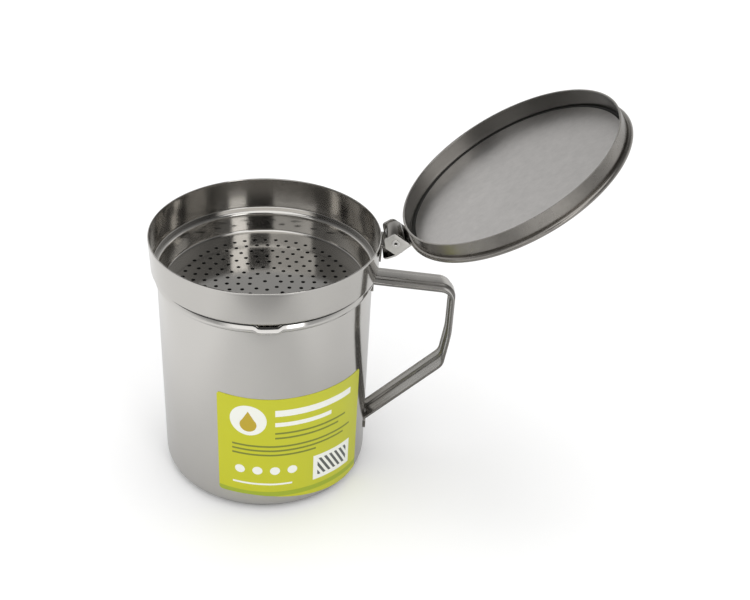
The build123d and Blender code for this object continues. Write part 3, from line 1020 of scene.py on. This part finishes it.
ear_drop, toe_and_heel = (0, 0.12), {-1: (0.8, 0.8), 1: (1.4, 2.2)}
ear_corners = pin + np.array([(0, 4.9), (2.6, 4.66), (4.4, 0), (2.9, -3.8), (-1.8, -3.8),
                              (-4.2, 2.4), (-4.35, 3.67), (0, 4.9)]) - ear_drop
for side, (toe, heel) in toe_and_heel.items():
    ear = rounded_line(ear_corners, [0.5, 0.5, toe, heel, 0.6, 0.1], 0.15)
    leaf_patches.append(drilled(ear, rivet_r + 0.05, side * ear_low, side * (ear_high - ear_shy)))
leaf_patches = [(about_pin(points, open_angle), faces) for points, faces in leaf_patches]
leaf = new_piece("leaf_shell", leaf_patches, "lid_hinge", "lid", hinge_steel)

# %% Paint shade on the leaf over the hood
dark_from = 46.5


def over_the_hood(at, facing):
    """The leaf's two broad faces, from the step to the thumb tab."""
    return (abs(facing[:, 1]) < 0.7) & (about_pin(at, -open_angle)[:, 0] > dark_from)


# painted shade: the leaf's broad faces take the bracket's dark tone
paint(leaf, hinge_shade_steel, over_the_hood)

# %% [markdown]
# ## The studio floor
# White paper that keeps the shadow. Seen from above, the upright walls mirror it, and an even
# white would leave them flat. So only the camera sees it white. In mirrors and for bounced light
# it is grey: darker in front of the cup, lighter to both sides and a little lighter on the left.
# Far off it glows for the camera, so that no horizon shows.

# %% Studio floor
paper_reach, paper_gap = 6.0, 0.2 * MM
floor_mesh = bpy.data.meshes.new("studio_floor")
floor_mesh.from_pydata([(-paper_reach, -paper_reach, 0), (paper_reach, -paper_reach, 0),
                        (paper_reach, paper_reach, 0), (-paper_reach, paper_reach, 0)],
                       [], [(0, 1, 2, 3)])
floor = add_object("studio_floor", floor_mesh)
floor.location.z = -paper_gap

floor_finish, tree, shader = new_finish("studio_floor")
seen = add_node(tree, "ShaderNodeLightPath", {}, out="Is Camera Ray")
place = add_node(tree, "ShaderNodeTexCoord", {}, out="Object")
to_right = add_node(tree, "ShaderNodeSeparateXYZ", {0: place}, out="X")
to_front, off_centre = to_right.twin("Y") * -1.0, abs(to_right)
in_front = to_front.smooth(0.158, 0.18, 0.0, 1.0) * off_centre.smooth(0.025, 0.2, 1.0, 0.0)
paper = (0.7 + to_right.smooth(-0.12, 0.08, 0.06, -0.07) + off_centre.smooth(0.06, 0.13, 0.0, 0.14)
         - 0.27 * in_front)
distance = add_node(tree, "ShaderNodeVectorMath", {0: place}, out="Value", operation="LENGTH")
glow = seen * distance.smooth(0.3, 1.0, 0.0, 0.3)
feed(tree, shader, base_color=mix(tree, seen, grey(tree, paper), (1, 1, 1, 1)),
     emission_color=grey(tree, glow))
shader.inputs["Emission Strength"].default_value = 1.0
shader.inputs["Roughness"].default_value = 0.9
shader.inputs["Specular IOR Level"].default_value = 0.0
floor_mesh.materials.append(floor_finish)
print("floor", 2 * paper_reach, "m square,", len(tree.nodes), "nodes")

# %% [markdown]
# ## The world
# Steel looks like what stands round it. A picture of a studio could surround it, but soft shapes
# can be moved one by one: a backdrop behind, bright low down and dark above; a dim room in front,
# with a low strip of light; paler sides; and a bright ceiling panel. The camera sees white and
# dull surfaces get an even light, so these shapes show in mirrors alone.

# %% World
world = bpy.data.worlds.new("studio")
world.use_nodes = True
bpy.context.scene.world = world
tree = world.node_tree
diffuse_ray = add_node(tree, "ShaderNodeLightPath", {}, out="Is Diffuse Ray")
looking = add_node(tree, "ShaderNodeTexCoord", {}, out="Generated")
sideways = add_node(tree, "ShaderNodeSeparateXYZ", {0: looking}, out="X")
height, depth = sideways.twin("Z"), sideways.twin("Y")

backdrop = add_node(tree, "ShaderNodeValToRGB", {"Fac": height},
                    stops=((0.0, 1.0), (0.33, 0.95), (0.5, 0.45), (0.62, 0.3), (0.75, 0.18),
                           (1.0, 0.02)))
room = add_node(tree, "ShaderNodeValToRGB", {"Fac": height},
                stops=((0.0, 0.3), (0.2, 0.08), (0.35, 0.025), (1.0, 0.015)))
side_light = 0.2
behind = depth.smooth(-0.35, 0.35, 0.0, 1.0)
beside = abs(sideways).smooth(0.45, 0.7, 0.0, side_light)
strip = height.smooth(0.17, 0.22, 1.1, 0.0) * (1.0 - 1 / side_light * beside)  # none at the sides
ceiling = (0.94 * height - 0.35 * depth).smooth(0.85, 0.9, 0.0, 1.5)
studio = (room + beside + strip) * (1.0 - behind) + backdrop * behind + ceiling
dull = mix(tree, diffuse_ray, studio, (0.9, 0.9, 0.9, 1))
feed(tree, tree.nodes["Background"],
     color=mix(tree, diffuse_ray.twin("Is Camera Ray"), dull, (1, 1, 1, 1)))
tree.nodes["Background"].inputs["Strength"].default_value = 1.0
print("world of", len(tree.nodes), "nodes")

# %% [markdown]
# ## The lamps
# A tall lamp in front on the right, a broad one on the left, and one overhead that mirrors don't
# see. They light the label and the paper, and leave a soft shadow, where point lamps would leave
# hard edges. Each is set by how bright it looks, because that is what a mirror shows.


# %% Lamps
def soft_lamp(name, turn, rise, away, width, tall, glow):
    """An area lamp, seen from the object at a turn right of the front and a rise, in degrees.

    Its power is its glow (radiance) times pi times its area.
    """
    light = bpy.data.lights.new(name, "AREA")
    light.shape, light.size, light.size_y = "RECTANGLE", width, tall
    light.energy = glow * pi * width * tall
    turn, rise = radians(turn), radians(rise)
    aim = Vector((0, 0, 80 * MM))
    spot = aim + away * Vector((sin(turn) * cos(rise), -cos(turn) * cos(rise), sin(rise)))
    lamp = add_object(name, light)
    facing = (aim - spot).to_track_quat("-Z", "Y").to_matrix().to_4x4()
    lamp.matrix_world = Matrix.Translation(spot) @ facing
    print(name, round(light.energy, 2), "W")
    return lamp


soft_lamp("right_lamp", turn=31, rise=21, away=1.1, width=0.31, tall=0.84, glow=2.2)
soft_lamp("left_lamp", turn=-30, rise=30, away=1.1, width=0.84, tall=0.7, glow=0.8)
top_lamp = soft_lamp("top_lamp", turn=180, rise=80, away=1.2, width=0.8, tall=0.5, glow=2.0)
top_lamp.visible_glossy = False
